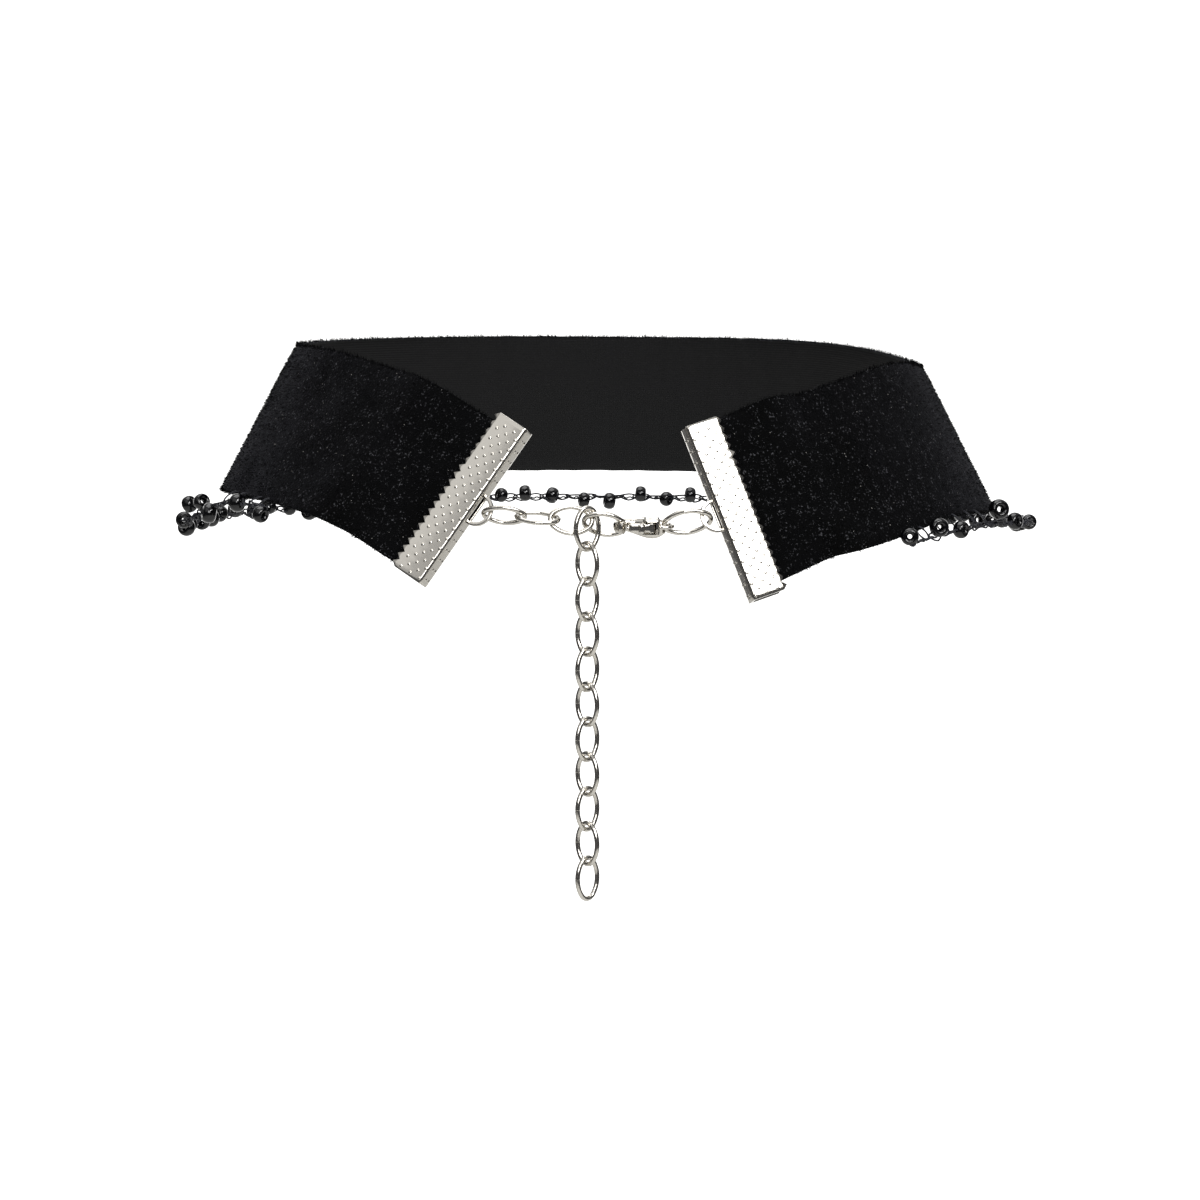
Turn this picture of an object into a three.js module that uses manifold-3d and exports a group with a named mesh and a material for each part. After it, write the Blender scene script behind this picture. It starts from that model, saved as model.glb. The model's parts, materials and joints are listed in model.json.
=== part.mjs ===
// Velvet ribbon choker necklace, in millimetres, +Z up.
// The origin is the centre of the neck loop. The wearer faces -Y and the closure is at the
// back, +Y. The extender chain is on the wearer's left, +X, and the clasp on the right.

import * as THREE from "three";
import { mergeVertices } from "three/addons/utils/BufferGeometryUtils.js";
import Module from "manifold-3d";

const wasm = await Module();
wasm.setup();

// Velvet ribbon: one straight strip that wraps the neck and flares out downwards
const loopRadius = 49.8;
const ribbonWidth = 23.2;
const ribbonThickness = 1.2;
const ribbonSteps = 72;
const flatLead = 1;

// Ribbon clamps: sheet metal folded over each ribbon end, with toothed jaws
const clampLength = 25;
const clampDepth = 5.3;
const clampSheet = 0.5;
const spineThickness = 0.6;
const jawClearance = 0.3;
const toothCount = 21;
const toothHeight = 0.75;

// Eye pressed out of each clamp's spine
const eyeLength = 4.6;
const eyeReach = 2.3;
const eyeStripWidth = 0.6;
const slotWidth = 0.9;

// Extender chain
const linkLength = 6.2;
const linkWidth = 4.2;
const linkWire = 0.62;
const hangingPlay = 0.24;
const acrossPlay = 0.45;
const eyePlay = 0.3;
const hookPlay = 0.35;
const hangingLinks = 11;

// Link between the clasp and the right clamp
const endLinkWidth = 4.7;
const endLinkWire = 0.62;
const endLinkRoll = 40;
const endLinkPlay = 0.6;

// Lobster clasp
const claspLength = 8.3;
const claspThickness = 2.4;
const claspEyeRadius = 1.4;
const claspEyeBore = 1.8;
const claspEyeThickness = 0.6;
const claspNeckWidth = 1.5;
const claspNeckOverlap = 0.35;
const hookWire = 1;
const leverThickness = 1.3;
const leverWidth = 0.8;
const leverTipX = 1.95;
const leverRise = 0.15;
const leverTaper = 0.1;
const leverClearance = 0.2;
const pivotOffset = 0.95;
const pinRadius = 0.25;
const pinInset = 0.1;
const knuckleRadius = 0.75;

// Place of the clasp against the link that it holds, and its roll in degrees
const claspOut = 0.1;
const claspUp = 0.3;
const claspRoll = -5;

// Bead trim: the crocheted thread and its beads, as one string under the lower edge
const trimDiameter = 1.8;
const trimSteps = 78;
const trimTurnStep = 4.5;

// Facets: sides of round wires, and steps along them
const linkSides = 6;
const linkSteps = 14;
const roundSides = 8;
const bentSteps = 14;
const flatSegments = 12;
const weldDistance = 1e-4;

// Sections of the band, from the left clamp round the front to the right clamp.
// turn: degrees from the back, towards the wearer's left.
// height: of the ribbon's middle line, as a share of its width.
// lean: degrees by which the upper edge leans in towards the neck.
const bandRows = [
  { turn: 20, height: -0.29, lean: 22 },
  { turn: 28, height: -0.155, lean: 22 },
  { turn: 36, height: -0.013, lean: 23 },
  { turn: 45, height: 0.072, lean: 33 },
  { turn: 60, height: 0.128, lean: 29 },
  { turn: 90, height: 0.092, lean: 28 },
  { turn: 135, height: 0.03, lean: 24 },
  { turn: 180, height: 0, lean: 24 },
  { turn: 225, height: 0, lean: 24 },
  { turn: 270, height: -0.05, lean: 27 },
  { turn: 300, height: 0.037, lean: 28 },
  { turn: 324, height: -0.094, lean: 28 },
  { turn: 330, height: -0.122, lean: 22 },
  { turn: 344, height: -0.319, lean: 20 },
];

// Soft dents of the velvet on the wearer's left.
// across: place over the width, from -0.5 to 0.5. depth and reach: shares of the width.
const dentRows = [
  { turn: 57, across: 0.24, depth: 0.03, reach: 0.2 },
  { turn: 49, across: -0.2, depth: 0.035, reach: 0.25 },
  { turn: 68, across: -0.42, depth: 0.03, reach: 0.15 },
];

// Route of the bead trim beside the ribbon's lower edge, from the wearer's left round the
// front. out and down: from the edge, as shares of the loop's radius.
const trimRows = [
  { turn: 55, out: 0.035, down: 0.011 },
  { turn: 70, out: 0.034, down: 0.02 },
  { turn: 80, out: 0.057, down: 0.055 },
  { turn: 92, out: 0.123, down: 0.11 },
  { turn: 110, out: 0.118, down: 0.109 },
  { turn: 140, out: 0.104, down: 0.099 },
  { turn: 180, out: 0.095, down: 0.095 },
  { turn: 220, out: 0.096, down: 0.095 },
  { turn: 255, out: 0.105, down: 0.056 },
  { turn: 270, out: 0.108, down: 0.03 },
  { turn: 285, out: 0.047, down: 0.027 },
  { turn: 300, out: 0.03, down: 0.034 },
  { turn: 316, out: 0.034, down: 0.017 },
];

// Run of the links from the left clamp to the clasp.
// swing: degrees out from straight across. dip: degrees down. roll: degrees round the run.
const acrossRows = [
  { swing: 10, dip: 2, roll: 50 },
  { swing: 5, dip: 5, roll: 106 },
  { swing: -2, dip: 3, roll: 163 },
  { swing: -8, dip: 12, roll: 215 },
];

// Outlines of the clasp, as shares of its length.
// x: from its middle to the hook's front. y: to the lever's side.
const hookRows = [
  { x: -0.072, y: -0.163 },
  { x: 0.072, y: -0.187 },
  { x: 0.229, y: -0.181 },
  { x: 0.367, y: -0.127 },
  { x: 0.44, y: 0 },
  { x: 0.404, y: 0.114 },
  { x: 0.307, y: 0.175 },
];
const plateRows = [
  { x: -0.205, y: 0.193 },
  { x: -0.072, y: 0.223 },
  { x: -0.012, y: 0.169 },
  { x: -0.012, y: -0.012 },
  { x: 0.06, y: -0.114 },
  { x: 0.06, y: -0.229 },
  { x: -0.145, y: -0.211 },
];

// Thumb knob of the clasp's lever. x as above, rise above the lever's back.
const knobRows = [
  { x: -0.036, rise: 0 },
  { x: 0.012, rise: 0.09 },
  { x: 0.066, rise: 0.09 },
  { x: 0.096, rise: 0 },
];

// Turn of the hanging links about their own length, in degrees, first link and the rest
const firstHangingTurn = 32;
const hangingTurn = 43;

// Tilt of each clamp in its own plane against the ribbon's end, in degrees
const leftClampTilt = 4;
const rightClampTilt = -6;

// Half of the stretch, in degrees, over which the band's run is measured
const runTurn = 0.5;

const velvet = new THREE.MeshStandardMaterial({ color: "#0c0b0e", roughness: 0.95 });
const nickel = new THREE.MeshStandardMaterial({ color: "#d9d6d0", roughness: 0.2, metalness: 1 });
const thread = new THREE.MeshStandardMaterial({ color: "#16171f", roughness: 0.6 });

const choker = new THREE.Group();
const radians = THREE.MathUtils.degToRad;

function addPiece(name, geometry, material) {
  const mesh = new THREE.Mesh(geometry, material);
  mesh.name = name;
  choker.add(mesh);
  return mesh;
}

// Solids for joining and cutting

function solidOf(geometry) {
  geometry.deleteAttribute("normal");
  geometry.deleteAttribute("uv");
  const merged = mergeVertices(geometry, weldDistance);
  return new wasm.Manifold(
    new wasm.Mesh({
      numProp: 3,
      vertProperties: new Float32Array(merged.attributes.position.array),
      triVerts: new Uint32Array(merged.index.array),
    }),
  );
}

function geometryOf(solid) {
  const mesh = solid.getMesh();
  const geometry = new THREE.BufferGeometry();
  geometry.setAttribute("position", new THREE.BufferAttribute(mesh.vertProperties, 3));
  geometry.setIndex(new THREE.BufferAttribute(mesh.triVerts, 1));
  return geometry;
}

// Shape of the band

// Smooth value of a column at a turn, through the rows of its table
function valueAt(rows, turn, column) {
  const found = rows.findIndex((row) => row.turn >= turn);
  const i = found === -1 ? rows.length - 1 : Math.max(found, 1);
  const slopeAt = (k) => {
    const from = rows[Math.max(k - 1, 0)];
    const to = rows[Math.min(k + 1, rows.length - 1)];
    return (to[column] - from[column]) / (to.turn - from.turn);
  };
  const [a, b] = [rows[i - 1], rows[i]];
  const span = b.turn - a.turn;
  const s = (turn - a.turn) / span;
  return (
    a[column] * (2 * s ** 3 - 3 * s ** 2 + 1) +
    b[column] * (3 * s ** 2 - 2 * s ** 3) +
    slopeAt(i - 1) * span * (s ** 3 - 2 * s ** 2 + s) +
    slopeAt(i) * span * (s ** 3 - s ** 2)
  );
}

function radialAt(turn) {
  return new THREE.Vector3(Math.sin(radians(turn)), Math.cos(radians(turn)), 0);
}

function middleAt(turn) {
  const height = ribbonWidth * valueAt(bandRows, turn, "height");
  return radialAt(turn).multiplyScalar(loopRadius).setZ(height);
}

const firstTurn = bandRows[0].turn;
const lastTurn = bandRows[bandRows.length - 1].turn;

function turnOver(length) {
  return THREE.MathUtils.radToDeg(length / loopRadius);
}

// Frame of the ribbon at a turn: along its run, across it upwards, and out of its face.
// The stretch in each clamp, and just before it, is flat.
function bandAt(turn) {
  const flatTurn = turnOver(clampDepth + flatLead);
  const bentTurn = THREE.MathUtils.clamp(turn, firstTurn + flatTurn, lastTurn - flatTurn);
  const along = middleAt(bentTurn + runTurn).sub(middleAt(bentTurn - runTurn)).normalize();
  const flatLength = radians(turn - bentTurn) * loopRadius;
  const middle = middleAt(bentTurn).addScaledVector(along, flatLength);
  const upright = along.clone().cross(radialAt(bentTurn)).normalize();
  const level = upright.clone().cross(along);
  const lean = radians(valueAt(bandRows, bentTurn, "lean"));
  const across = upright.clone().multiplyScalar(Math.cos(lean));
  across.addScaledVector(level, -Math.sin(lean));
  const out = level.clone().multiplyScalar(Math.cos(lean));
  out.addScaledVector(upright, Math.sin(lean));
  return { middle, along, across, out };
}

// Velvet ribbon

function dentAt(turn, share) {
  let depth = 0;
  for (const dent of dentRows) {
    const alongShare = (radians(turn - dent.turn) * loopRadius) / ribbonWidth;
    const distance = Math.hypot(alongShare, share - dent.across) / dent.reach;
    depth += dent.depth * ribbonWidth * Math.exp(-distance * distance);
  }
  return depth;
}

// Turn from a clamp's spine to the ribbon's end, which stays clear of the tilted spine
function ribbonInset(tilt) {
  const skew = (ribbonWidth / 2) * Math.tan(radians(Math.abs(tilt)));
  return turnOver(spineThickness + jawClearance + skew);
}

function ribbonGeometry() {
  const shares = [-0.5, -0.25, 0, 0.25, 0.5];
  const faces = shares.length;
  const ring = 2 * faces;
  const start = firstTurn + ribbonInset(leftClampTilt);
  const end = lastTurn - ribbonInset(rightClampTilt);
  const positions = [];
  for (let step = 0; step <= ribbonSteps; step++) {
    const turn = start + ((end - start) * step) / ribbonSteps;
    const { middle, across, out } = bandAt(turn);
    for (let k = 0; k < ring; k++) {
      const outer = k < faces;
      const share = outer ? shares[k] : shares[ring - 1 - k];
      const offset = (outer ? 0.5 : -0.5) * ribbonThickness - dentAt(turn, share);
      const point = middle.clone().addScaledVector(across, share * ribbonWidth);
      positions.push(...point.addScaledVector(out, offset).toArray());
    }
  }
  const index = [];
  for (let step = 0; step < ribbonSteps; step++) {
    for (let k = 0; k < ring; k++) {
      const a = step * ring + k;
      const b = step * ring + ((k + 1) % ring);
      index.push(a, b, a + ring, b, b + ring, a + ring);
    }
  }
  const final = ribbonSteps * ring;
  for (let k = 0; k < faces - 1; k++) {
    const opposite = ring - 1 - k;
    index.push(k, opposite, k + 1, k + 1, opposite, opposite - 1);
    index.push(final + k, final + k + 1, final + opposite);
    index.push(final + k + 1, final + opposite - 1, final + opposite);
  }
  const geometry = new THREE.BufferGeometry();
  geometry.setAttribute("position", new THREE.Float32BufferAttribute(positions, 3));
  geometry.setIndex(index);
  return geometry;
}

addPiece("velvet_ribbon", ribbonGeometry(), velvet);

// Ribbon clamps. In a clamp's own frame X points to the chain, Y through the sheet and
// Z along the clamp, with the origin at the middle of the spine's outer face.

const jawHalfGap = ribbonThickness / 2 + jawClearance;

function jawGeometry() {
  const pitch = clampLength / toothCount;
  const root = -(clampDepth - toothHeight);
  const outline = new THREE.Shape();
  outline.moveTo(0, -clampLength / 2);
  outline.lineTo(0, clampLength / 2);
  outline.lineTo(root, clampLength / 2);
  for (let tooth = 0; tooth < toothCount; tooth++) {
    outline.lineTo(-clampDepth, clampLength / 2 - (tooth + 0.5) * pitch);
    outline.lineTo(root, clampLength / 2 - (tooth + 1) * pitch);
  }
  const jaw = new THREE.ExtrudeGeometry(outline, { depth: clampSheet, bevelEnabled: false });
  return jaw.rotateX(Math.PI / 2);
}

function eyeGeometry() {
  const half = eyeLength / 2 - clampSheet / 2;
  const reach = eyeReach - clampSheet / 2;
  const points = [new THREE.Vector3(-spineThickness / 2, 0, half)];
  const bends = 8;
  for (let bend = 0; bend <= bends; bend++) {
    const angle = (Math.PI * bend) / bends;
    points.push(new THREE.Vector3(reach * Math.sin(angle), 0, half * Math.cos(angle)));
  }
  points.push(new THREE.Vector3(-spineThickness / 2, 0, -half));
  const strip = new THREE.Shape();
  strip.moveTo(-eyeStripWidth / 2, -clampSheet / 2);
  strip.lineTo(eyeStripWidth / 2, -clampSheet / 2);
  strip.lineTo(eyeStripWidth / 2, clampSheet / 2);
  strip.lineTo(-eyeStripWidth / 2, clampSheet / 2);
  const path = new THREE.CatmullRomCurve3(points);
  const bending = { steps: bentSteps, bevelEnabled: false, extrudePath: path };
  return new THREE.ExtrudeGeometry(strip, bending);
}

function clampGeometry() {
  const thickness = 2 * (jawHalfGap + clampSheet);
  const spine = new THREE.BoxGeometry(spineThickness, thickness, clampLength);
  spine.translate(-spineThickness / 2, 0, 0);
  const slotLength = eyeLength - 2 * clampSheet;
  const slot = new THREE.BoxGeometry(2 * spineThickness, slotWidth, slotLength);
  slot.translate(-spineThickness / 2, 0, 0);
  const outerJaw = jawGeometry().translate(0, jawHalfGap + clampSheet, 0);
  const innerJaw = jawGeometry().translate(0, -jawHalfGap, 0);
  const clamp = solidOf(spine)
    .add(solidOf(outerJaw))
    .add(solidOf(innerJaw))
    .subtract(solidOf(slot))
    .add(solidOf(eyeGeometry()));
  return geometryOf(clamp);
}

function clampFrame(turn, side, tilt) {
  const { middle, along, across } = bandAt(turn);
  const forward = along.multiplyScalar(side);
  const through = across.clone().cross(forward);
  const frame = new THREE.Matrix4().makeBasis(forward, through, across);
  frame.setPosition(middle);
  return frame.multiply(new THREE.Matrix4().makeRotationY(radians(tilt)));
}

const leftFrame = clampFrame(firstTurn, -1, leftClampTilt);
const rightFrame = clampFrame(lastTurn, 1, rightClampTilt);
addPiece("ribbon_clamp_left", clampGeometry(), nickel).applyMatrix4(leftFrame);
addPiece("ribbon_clamp_right", clampGeometry(), nickel).applyMatrix4(rightFrame);

// Oval wire links

class Oval extends THREE.Curve {
  constructor(length, width) {
    super();
    this.length = length;
    this.width = width;
  }

  getPoint(t, target = new THREE.Vector3()) {
    const angle = 2 * Math.PI * t;
    const x = (this.length / 2) * Math.cos(angle);
    const y = (this.width / 2) * Math.sin(angle);
    return target.set(x, y, 0);
  }
}

function addLink(name, centre, along, side, length, width, wire) {
  const oval = new Oval(length - wire, width - wire);
  const geometry = new THREE.TubeGeometry(oval, linkSteps, wire / 2, linkSides, true);
  const link = addPiece(name, geometry, nickel);
  const normal = along.clone().cross(side).normalize();
  const frame = new THREE.Matrix4().makeBasis(along, normal.clone().cross(along), normal);
  frame.setPosition(centre);
  link.applyMatrix4(frame);
}

// Distance between the middles of two links that hold each other with some play
function linkPitch(play) {
  return linkLength - 2 * linkWire - play;
}

// Place in a clamp's eye of a wire that pulls on the strip
function wireInEye(frame, wire, play) {
  const x = eyeReach - clampSheet - wire / 2 - play;
  return new THREE.Vector3(x, 0, 0).applyMatrix4(frame);
}

// Links from the left clamp to the clasp

function directionOf({ swing, dip }) {
  const level = Math.cos(radians(dip));
  const x = -level * Math.cos(radians(swing));
  const y = level * Math.sin(radians(swing));
  return new THREE.Vector3(x, y, -Math.sin(radians(dip)));
}

function sideOf(along, roll) {
  const outwards = new THREE.Vector3(0, 1, 0).addScaledVector(along, -along.y).normalize();
  const upwards = outwards.clone().cross(along).normalize();
  const side = upwards.multiplyScalar(Math.cos(radians(roll)));
  return side.addScaledVector(outwards, Math.sin(radians(roll)));
}

const linkHalf = (linkLength - linkWire) / 2;
const runs = acrossRows.map(directionOf);
let linkCentre = wireInEye(leftFrame, linkWire, eyePlay).addScaledVector(runs[0], linkHalf);
runs.forEach((run, i) => {
  if (i > 0) {
    linkCentre = linkCentre.addScaledVector(runs[i - 1], linkPitch(acrossPlay) / 2);
    linkCentre = linkCentre.addScaledVector(run, linkPitch(acrossPlay) / 2);
  }
  const side = sideOf(run, acrossRows[i].roll);
  addLink(`chain_link_${i + 1}`, linkCentre, run, side, linkLength, linkWidth, linkWire);
});
const heldCentre = linkCentre.clone();
const heldRun = runs[runs.length - 1];
const heldEnd = heldCentre.clone().addScaledVector(heldRun, linkHalf);

// Links that hang down from the one that the clasp holds

const hangPlace = new THREE.Vector3(2.3, 0.95, -0.5);
const down = new THREE.Vector3(0, 0, -1);
let hangCentre = heldCentre.clone().add(hangPlace);
for (let i = 0; i < hangingLinks; i++) {
  const turn = i === 0 ? firstHangingTurn : hangingTurn * (i % 2 === 0 ? 1 : -1);
  const side = new THREE.Vector3(Math.cos(radians(turn)), Math.sin(radians(turn)), 0);
  addLink(`drop_link_${i + 1}`, hangCentre, down, side, linkLength, linkWidth, linkWire);
  hangCentre = hangCentre.clone().addScaledVector(down, linkPitch(hangingPlay));
}

// Lobster clasp. In its own frame X points to the hook's front, Y to the lever's side and
// Z through its thickness, with the origin at its middle.

const hookFront = claspLength / 2 - hookWire / 2;
const claspEyeX = -(claspLength / 2 - claspEyeRadius);
const pivot = new THREE.Vector3(-pivotOffset, pivotOffset, 0);

// A round wire along a path
function roundGeometry(points, diameter, steps) {
  const section = new THREE.Shape().absarc(0, 0, diameter / 2, 0, 2 * Math.PI);
  return new THREE.ExtrudeGeometry(section, {
    steps,
    curveSegments: roundSides,
    bevelEnabled: false,
    extrudePath: new THREE.CatmullRomCurve3(points),
  });
}

function hookGeometry() {
  const points = hookRows.map(({ x, y }) => new THREE.Vector3(x, y, 0));
  points.forEach((point) => point.multiplyScalar(claspLength));
  return roundGeometry(points, hookWire, bentSteps);
}

// A flat piece of the clasp, centred on its middle plane
function claspFlat(outline, thickness) {
  const flat = new THREE.ExtrudeGeometry(outline, {
    depth: thickness,
    curveSegments: flatSegments,
    bevelEnabled: false,
  });
  return flat.translate(0, 0, -thickness / 2);
}

function claspPlateGeometry() {
  const neckX = claspEyeX + claspEyeRadius - claspNeckOverlap;
  const outline = new THREE.Shape();
  outline.moveTo(neckX, -claspNeckWidth / 2);
  outline.lineTo(neckX, claspNeckWidth / 2);
  for (const { x, y } of plateRows) outline.lineTo(x * claspLength, y * claspLength);
  return claspFlat(outline, claspThickness);
}

function claspEyeGeometry() {
  const outline = new THREE.Shape().absarc(claspEyeX, 0, claspEyeRadius, 0, 2 * Math.PI);
  const bore = new THREE.Path().absarc(claspEyeX, 0, claspEyeBore / 2, 0, 2 * Math.PI);
  outline.holes.push(bore);
  return claspFlat(outline, claspEyeThickness);
}

function claspBodyGeometry() {
  const slotHeight = leverThickness + 2 * leverClearance;
  const slotFloor = pivot.y - knuckleRadius - leverClearance;
  const slotBack = pivot.x - knuckleRadius - leverClearance;
  const reach = claspLength / 3;
  const slot = new THREE.BoxGeometry(reach, reach, slotHeight);
  slot.translate(slotBack + reach / 2, slotFloor + reach / 2, 0);
  const pinLength = claspThickness - 2 * pinInset;
  const pin = new THREE.CylinderGeometry(pinRadius, pinRadius, pinLength, flatSegments);
  pin.rotateX(Math.PI / 2).translate(pivot.x, pivot.y, 0);
  const body = solidOf(claspPlateGeometry())
    .add(solidOf(claspEyeGeometry()))
    .add(solidOf(hookGeometry()))
    .subtract(solidOf(slot))
    .add(solidOf(pin));
  return geometryOf(body);
}

function leverGeometry() {
  const outline = new THREE.Shape();
  const back = pivot.y + knuckleRadius + leverRise;
  const front = back - leverWidth;
  outline.moveTo(pivot.x, pivot.y - knuckleRadius);
  outline.absarc(pivot.x, pivot.y, knuckleRadius, -Math.PI / 2, Math.PI / 2, true);
  for (const { x, rise } of knobRows) {
    outline.lineTo(x * claspLength, back + rise * claspLength);
  }
  outline.lineTo(leverTipX, back);
  outline.lineTo(leverTipX, front);
  outline.lineTo(leverTaper, front - leverTaper);
  const boreRadius = pinRadius + leverClearance;
  outline.holes.push(new THREE.Path().absarc(pivot.x, pivot.y, boreRadius, 0, 2 * Math.PI));
  return claspFlat(outline, leverThickness);
}

// The hook's front runs through the held link, clear of the link's end
const hookSeat = hookWire / 2 + linkWire / 2 + hookPlay;
const clasp = new THREE.Group();
clasp.position.copy(heldEnd);
clasp.position.x += hookSeat - hookFront;
clasp.position.y += claspOut;
clasp.position.z += claspUp;
clasp.rotation.x = radians(claspRoll);
choker.add(clasp);
clasp.add(addPiece("clasp_body", claspBodyGeometry(), nickel));
clasp.add(addPiece("clasp_lever", leverGeometry(), nickel));

// Link from the clasp's eye to the right clamp's eye
clasp.updateMatrixWorld(true);
const claspEyeWire = new THREE.Vector3(claspEyeX, 0, 0).applyMatrix4(clasp.matrixWorld);
const rightEyeWire = wireInEye(rightFrame, endLinkWire, endLinkPlay);
const endRun = rightEyeWire.clone().sub(claspEyeWire).normalize();
const endCentre = rightEyeWire.clone().add(claspEyeWire).multiplyScalar(0.5);
const endSide = sideOf(endRun, endLinkRoll);
const endLinkLength = rightEyeWire.distanceTo(claspEyeWire) + endLinkWire;
addLink("end_link", endCentre, endRun, endSide, endLinkLength, endLinkWidth, endLinkWire);

// Bead trim

function trimPoint(turn) {
  const { middle, across } = bandAt(turn);
  const point = middle.addScaledVector(across, -ribbonWidth / 2);
  point.addScaledVector(radialAt(turn), loopRadius * valueAt(trimRows, turn, "out"));
  point.z -= loopRadius * valueAt(trimRows, turn, "down");
  return point;
}

function trimGeometry() {
  const first = trimRows[0].turn;
  const last = trimRows[trimRows.length - 1].turn;
  const points = [];
  for (let turn = first; turn <= last; turn += trimTurnStep) points.push(trimPoint(turn));
  return roundGeometry(points, trimDiameter, trimSteps);
}

addPiece("bead_trim", trimGeometry(), thread);

export default choker;
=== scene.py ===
import json
import math
import random

import bmesh
import bpy
from mathutils import Matrix, Vector

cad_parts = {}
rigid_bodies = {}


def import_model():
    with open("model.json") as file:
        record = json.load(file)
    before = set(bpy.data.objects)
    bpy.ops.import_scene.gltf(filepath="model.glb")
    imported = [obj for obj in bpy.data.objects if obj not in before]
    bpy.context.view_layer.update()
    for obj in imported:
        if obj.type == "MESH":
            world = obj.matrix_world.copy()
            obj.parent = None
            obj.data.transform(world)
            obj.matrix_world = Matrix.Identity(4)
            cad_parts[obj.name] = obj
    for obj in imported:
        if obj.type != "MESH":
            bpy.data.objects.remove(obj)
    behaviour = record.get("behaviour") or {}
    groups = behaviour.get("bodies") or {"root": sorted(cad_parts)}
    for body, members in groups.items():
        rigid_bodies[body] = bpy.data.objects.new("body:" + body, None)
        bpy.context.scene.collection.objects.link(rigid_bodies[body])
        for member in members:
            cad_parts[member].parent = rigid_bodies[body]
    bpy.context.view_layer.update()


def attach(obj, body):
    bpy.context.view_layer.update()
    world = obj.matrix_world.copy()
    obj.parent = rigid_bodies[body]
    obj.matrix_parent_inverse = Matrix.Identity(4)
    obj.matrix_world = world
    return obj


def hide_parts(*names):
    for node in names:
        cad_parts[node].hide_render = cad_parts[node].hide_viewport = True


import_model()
bpy.ops.object.select_all(action="DESELECT")

# Camera: close behind the necklace and a little above the clasp, with a short telephoto
# lens, as small jewellery is photographed.
mm = 0.001
camera_aim = Vector((1.27, 46, -18.8)) * mm
camera_distance = 600 * mm
camera_rise = math.radians(7)
camera_lens = 134.3

bpy.ops.object.camera_add()
camera = bpy.context.object
camera.name = "camera"
back = Vector((0, math.cos(camera_rise), math.sin(camera_rise)))
camera.location = camera_aim + camera_distance * back
camera.rotation_euler = (math.pi / 2 - camera_rise, 0, math.pi)
camera.data.lens = camera_lens
camera.data.clip_start = 10 * mm
bpy.context.scene.camera = camera


# Floor: a pale studio floor, well below the necklace because that hangs at the height of a
# neck. It rolls up into the walls, which are white paper lit from behind where the camera
# looks, and a grey room elsewhere, which the polished metal mirrors as its darker lines.
floor_height = -450 * mm
floor_radius = 1.18
wall_curve = 0.5
wall_height = 0.9
backdrop_sector = 0.82
paper_white = "#f7f7f6"
paper_glow = 1.8
floor_white = "#e4e4e2"
room_grey = "#6c6c6e"
paper_tooth = 1.5 * mm


def linear(hex_colour):
    """An sRGB hex colour as linear values with full alpha."""
    values = [int(hex_colour[i : i + 2], 16) / 255 for i in (1, 3, 5)]
    return [v / 12.92 if v <= 0.04045 else ((v + 0.055) / 1.055) ** 2.4 for v in values] + [1]


def node(material, kind, links=(), **settings):
    """Adds a node, sets what is named on it or on its inputs, and links what comes in."""
    made = material.node_tree.nodes.new("ShaderNode" + kind)

    def socket(name):
        return next(s for s in made.inputs if name in (s.identifier, s.name.replace(" ", "_")))

    for name, value in settings.items():
        if hasattr(made, name):
            setattr(made, name, value)
        else:
            socket(name).default_value = value
    for name, source in dict(links).items():
        target = made.inputs[name] if isinstance(name, int) else socket(name)
        material.node_tree.links.new(source, target)
    return made


def new_material(name, **settings):
    """A material, its shader with the settings that are the same all over, and its nodes."""
    material = bpy.data.materials.new(name)
    material.use_nodes = True
    shader = material.node_tree.nodes["Principled BSDF"]
    for key, value in settings.items():
        shader.inputs[key.replace("_", " ")].default_value = value
    return material, shader


def feed(material, socket, source):
    material.node_tree.links.new(source, socket)


def noise(material, place, grain, detail):
    """A noise with a grain in metres."""
    made = node(material, "TexNoise", {"Vector": place}, Scale=1 / grain, Detail=detail)
    return made.outputs["Fac"]


def emboss(material, shader, height, strength, depth):
    """Gives the surface a relief of a depth in metres."""
    relief = node(material, "Bump", {"Height": height}, Strength=strength, Distance=depth)
    feed(material, shader.inputs["Normal"], relief.outputs["Normal"])


paper, shader = new_material("pale_painted_floor", Base_Color=linear(floor_white), Roughness=0.85)
place = node(paper, "TexCoord").outputs["Object"]
emboss(paper, shader, noise(paper, place, paper_tooth, 4.0), 0.15, 0.1 * mm)

bpy.ops.mesh.primitive_circle_add(
    vertices=96, radius=floor_radius, fill_type="NGON", location=(0, 0, floor_height)
)
floor = bpy.context.object
floor.name = "floor"
bpy.ops.object.mode_set(mode="EDIT")
sweep_steps = 8
bend = math.pi / 2 / sweep_steps
for step in range(1, sweep_steps + 1):
    rise = wall_curve * (math.cos((step - 1) * bend) - math.cos(step * bend))
    reach = floor_radius + wall_curve * math.sin(step * bend)
    before = floor_radius + wall_curve * math.sin((step - 1) * bend)
    bpy.ops.mesh.select_all(action="SELECT")
    bpy.ops.mesh.region_to_loop()
    bpy.ops.mesh.extrude_region_move(TRANSFORM_OT_translate={"value": (0, 0, rise)})
    bpy.ops.transform.resize(value=(reach / before, reach / before, 1))
bpy.ops.mesh.extrude_region_move(TRANSFORM_OT_translate={"value": (0, 0, wall_height)})
bpy.ops.mesh.select_all(action="SELECT")
bpy.ops.mesh.normals_make_consistent(inside=True)
bpy.ops.object.mode_set(mode="OBJECT")
bpy.ops.object.shade_smooth_by_angle(angle=math.radians(40))
room, _ = new_material("grey_room", Base_Color=linear(room_grey), Roughness=0.9)
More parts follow.
